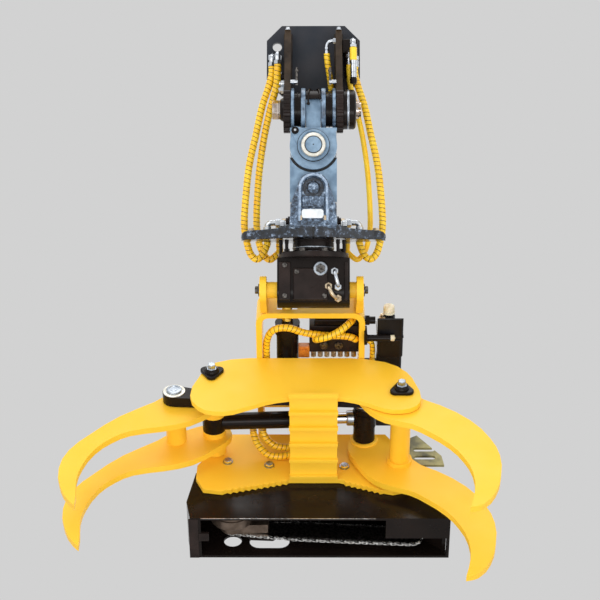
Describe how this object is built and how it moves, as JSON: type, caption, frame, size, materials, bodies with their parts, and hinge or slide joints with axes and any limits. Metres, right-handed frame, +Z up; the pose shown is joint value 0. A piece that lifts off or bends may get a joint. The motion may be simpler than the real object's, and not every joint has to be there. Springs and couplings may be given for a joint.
{
  "type": "grapple saw",
  "caption": "Hydraulic grapple saw for a crane tip: coupler plate, hanging link with brake discs, rotator, tilting yellow frame with closing arms, and a swing-out saw bar in a guard box.",
  "frame": {"origin": "middle of the coupler plate's back face, where the crane's quick coupler bolts on and the whole tool hangs", "axes": "+Z up along the hanging line, +Y out of the coupler plate's back face, +X to the right when the gripping arms are seen from the front"},
  "size_m": [0.9632, 0.6539, 1.2757],
  "materials": {
    "yellow_paint": "gloss",
    "black_paint": "gloss",
    "bracket_brown": "satin",
    "link_grey_blue": "satin",
    "cast_iron": "rough",
    "bright_steel": "satin",
    "zinc_yellow": "satin",
    "cream_plastic": "satin",
    "tank_plastic": "satin",
    "motor_grey": "satin",
    "hose_yellow": "satin"
  },
  "bodies": {
    "bracket": {"coupler_plate": "bracket_brown", "ear_left": "bracket_brown", "ear_right": "bracket_brown", "swing_pin": "bright_steel", "hose_bulkhead_left": "bright_steel", "hose_bulkhead_right": "bright_steel"},
    "cross_link": {"cross_link": "link_grey_blue", "brake_spool_left": "bright_steel", "brake_spool_right": "bright_steel", "cross_pin": "bright_steel", "cross_pin_keeper": "link_grey_blue", "hose_outer_left": "hose_yellow", "hose_inner_left": "hose_yellow", "hose_outer_right": "hose_yellow", "hose_inner_right": "hose_yellow"},
    "rotator_head": {"lower_link": "link_grey_blue", "rotator_yoke": "cast_iron", "yoke_pin": "cast_iron", "port_block_left": "bright_steel", "port_block_right": "bright_steel"},
    "rotor": {"rotor_flange": "cast_iron", "tilt_head": "black_paint"},
    "grapple_frame": {"tilt_pin": "bright_steel", "cheek_left": "yellow_paint", "cheek_right": "yellow_paint", "arch_frame": "yellow_paint", "cylinder_mount": "yellow_paint", "top_plate": "yellow_paint", "bottom_plate": "yellow_paint", "anvil_column": "yellow_paint", "arm_pin_left": "bright_steel", "arm_pin_right": "bright_steel", "retainer_left": "black_paint", "retainer_right": "black_paint", "oil_tank": "tank_plastic", "valve_block": "bright_steel", "solenoid_valve": "black_paint", "slotted_guard": "zinc_yellow", "saw_box": "black_paint", "saw_motor": "motor_grey"},
    "filler_cap": {"filler_cap": "cream_plastic"},
    "right_arm": {"right_arm": "yellow_paint", "rod_pin": "black_paint", "link_far_pin": "bright_steel"},
    "left_arm": {"left_arm": "yellow_paint", "link_pin": "bright_steel"},
    "tie_link": {"tie_link": "black_paint"},
    "grip_barrel": {"grip_barrel": "black_paint", "hose_grip": "hose_yellow"},
    "grip_rod": {"grip_rod": "bright_steel"},
    "tilt_barrel": {"tilt_barrel": "black_paint"},
    "tilt_rod": {"tilt_rod": "bright_steel"},
    "saw_bar": {"guide_bar": "bright_steel", "saw_chain": "bright_steel", "bar_holder": "black_paint"},
    "drive_sprocket": {"drive_sprocket": "bright_steel"}
  },
  "joints": [
    {"name": "swing", "type": "hinge", "parent": "bracket", "child": "cross_link", "pos_m": [0, -0.105, -0.135], "axis": [1, 0, 0], "range_deg": [-40, 40], "deforming": ["hose_outer_left", "hose_inner_left", "hose_outer_right", "hose_inner_right"]},
    {"name": "cross", "type": "hinge", "parent": "cross_link", "child": "rotator_head", "pos_m": [0, -0.105, -0.229], "axis": [0, 1, 0], "range_deg": [-30, 30], "deforming": ["hose_outer_left", "hose_inner_left", "hose_outer_right", "hose_inner_right"]},
    {"name": "rotate", "type": "hinge", "parent": "rotator_head", "child": "rotor", "pos_m": [0, -0.105, -0.439], "axis": [0, 0, 1], "continuous": true},
    {"name": "tilt", "type": "hinge", "parent": "rotor", "child": "grapple_frame", "pos_m": [0, -0.105, -0.554], "axis": [1, 0, 0], "range_deg": [-34, 40]},
    {"name": "cap_unscrew", "type": "slide", "parent": "grapple_frame", "child": "filler_cap", "axis": [0, -0.5592, 0.829], "range_m": [0, 0.02]},
    {"name": "grip", "type": "hinge", "parent": "grapple_frame", "child": "right_arm", "pos_m": [0.202, -0.0475, -0.87708], "axis": [0, 0.5592, -0.829], "range_deg": [0, 44]},
    {"name": "grip_follow", "type": "hinge", "parent": "grapple_frame", "child": "left_arm", "pos_m": [-0.237, 0.02451, -0.85867], "axis": [0, -0.5592, 0.829], "range_deg": [0, 59.5]},
    {"name": "link_turn", "type": "hinge", "parent": "left_arm", "child": "tie_link", "pos_m": [-0.325, -0.0552, -0.78699], "axis": [0, 0.5592, -0.829], "range_deg": [0, 43.6]},
    {"name": "grip_barrel_turn", "type": "hinge", "parent": "grapple_frame", "child": "grip_barrel", "pos_m": [-0.237, 0.02451, -0.85867], "axis": [0, -0.5592, 0.829], "range_deg": [0, 4.7]},
    {"name": "grip_stroke", "type": "slide", "parent": "grip_barrel", "child": "grip_rod", "axis": [0.999, 0.037, 0.025], "range_m": [0, 0.083]},
    {"name": "tilt_barrel_turn", "type": "hinge", "parent": "grapple_frame", "child": "tilt_barrel", "pos_m": [-0.062, 0.12927, -0.79403], "axis": [1, 0, 0], "range_deg": [-0.4, 0.5]},
    {"name": "tilt_stroke", "type": "slide", "parent": "tilt_barrel", "child": "tilt_rod", "axis": [0, -0.5692, 0.8222], "range_m": [-0.0364, 0.031]},
    {"name": "saw_swing", "type": "hinge", "parent": "grapple_frame", "child": "saw_bar", "pos_m": [-0.189, -0.02851, -1.10552], "axis": [0, 0.5592, -0.829], "range_deg": [0, 85]},
    {"name": "sprocket_spin", "type": "hinge", "parent": "grapple_frame", "child": "drive_sprocket", "pos_m": [-0.189, -0.02851, -1.10552], "axis": [0, 0.5592, -0.829], "continuous": true}
  ],
  "couplings": [
    {"joint": "grip_follow", "follows": "grip", "ratio": 1.339},
    {"joint": "link_turn", "follows": "grip", "ratio": 0.9796},
    {"joint": "grip_barrel_turn", "follows": "grip", "ratio": 0.1033},
    {"joint": "grip_stroke", "follows": "grip", "m_per_rad": 0.10767},
    {"joint": "tilt_barrel_turn", "follows": "tilt", "ratio": 0.01033},
    {"joint": "tilt_stroke", "follows": "tilt", "m_per_rad": -0.05188}
  ]
}
